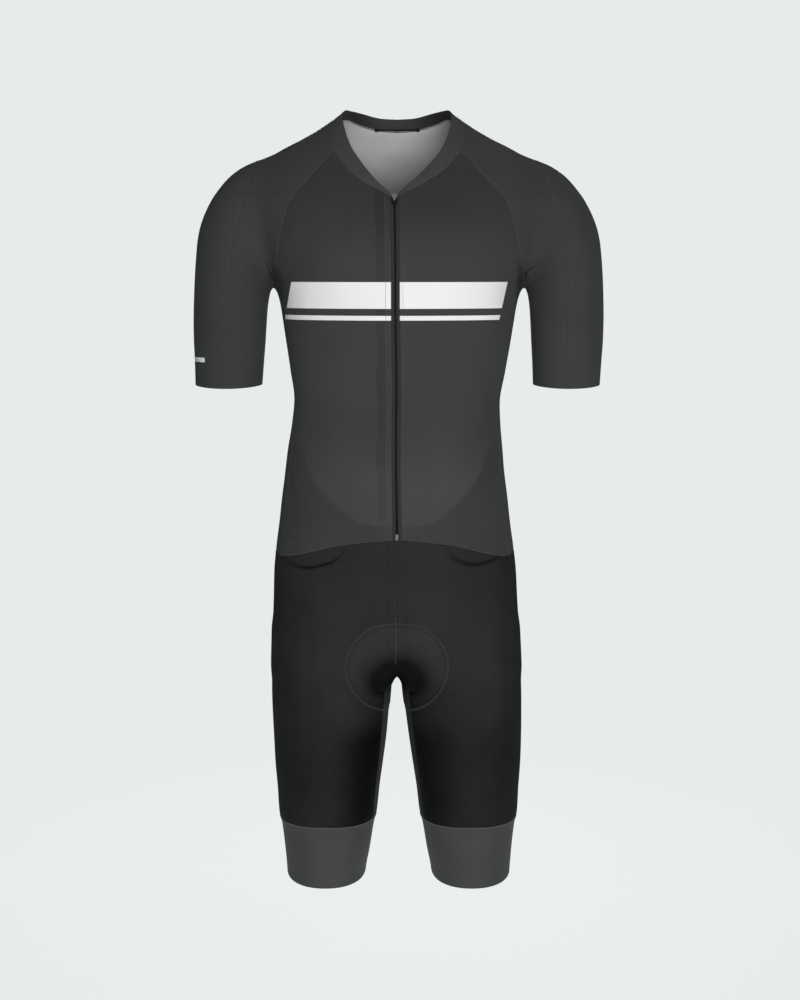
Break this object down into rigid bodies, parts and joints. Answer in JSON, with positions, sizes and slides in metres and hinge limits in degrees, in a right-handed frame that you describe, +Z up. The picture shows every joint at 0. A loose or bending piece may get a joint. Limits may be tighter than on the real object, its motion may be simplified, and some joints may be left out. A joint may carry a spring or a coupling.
{
  "type": "triathlon suit",
  "caption": "Short-sleeved one-piece triathlon suit in its worn form: raglan sleeves, low collar, full front zip, jersey front open over the shorts, banded legs above the knee.",
  "frame": {"origin": "centre of the neck base, level with the side neck points, where the wearer's shoulders hold the suit", "axes": "+Z up, the front faces -Y, +X towards the wearer's left sleeve"},
  "size_m": [0.5503, 0.25, 1.0477],
  "materials": {
    "jersey": "fine dark grey stretch knit",
    "shorts": "smooth near-black stretch knit",
    "panel": "matt dark grey stretch knit",
    "band": "smooth dark grey elastic band",
    "trim": "black woven tape",
    "slider_metal": "grey coated metal",
    "pull": "black moulded plastic"
  },
  "bodies": {
    "suit": {"jersey_front_left": "jersey", "jersey_front_right": "jersey", "jersey_back": "jersey", "sleeve_front_left": "jersey", "sleeve_front_right": "jersey", "sleeve_outer_left": "jersey", "sleeve_outer_right": "jersey", "collar": "band", "neck_tape": "trim", "zip_tape_left": "trim", "zip_tape_right": "trim", "zip_coil": "trim", "zip_guard": "panel", "zip_slider": "slider_metal", "zip_stop": "slider_metal", "shorts_front_left": "shorts", "shorts_front_right": "shorts", "shorts_back_left": "shorts", "shorts_back_right": "shorts", "inner_thigh_left": "panel", "inner_thigh_right": "panel", "leg_cuff_left": "band", "leg_cuff_right": "band"},
    "pull_tab": {"zip_pull": "pull"}
  },
  "joints": [
    {"name": "pull_tab_swing", "type": "hinge", "parent": "suit", "child": "pull_tab", "pos_m": [-0.00314, -0.09743, -0.11868], "axis": [-1, 0, 0], "range_deg": [0, 150]}
  ]
}
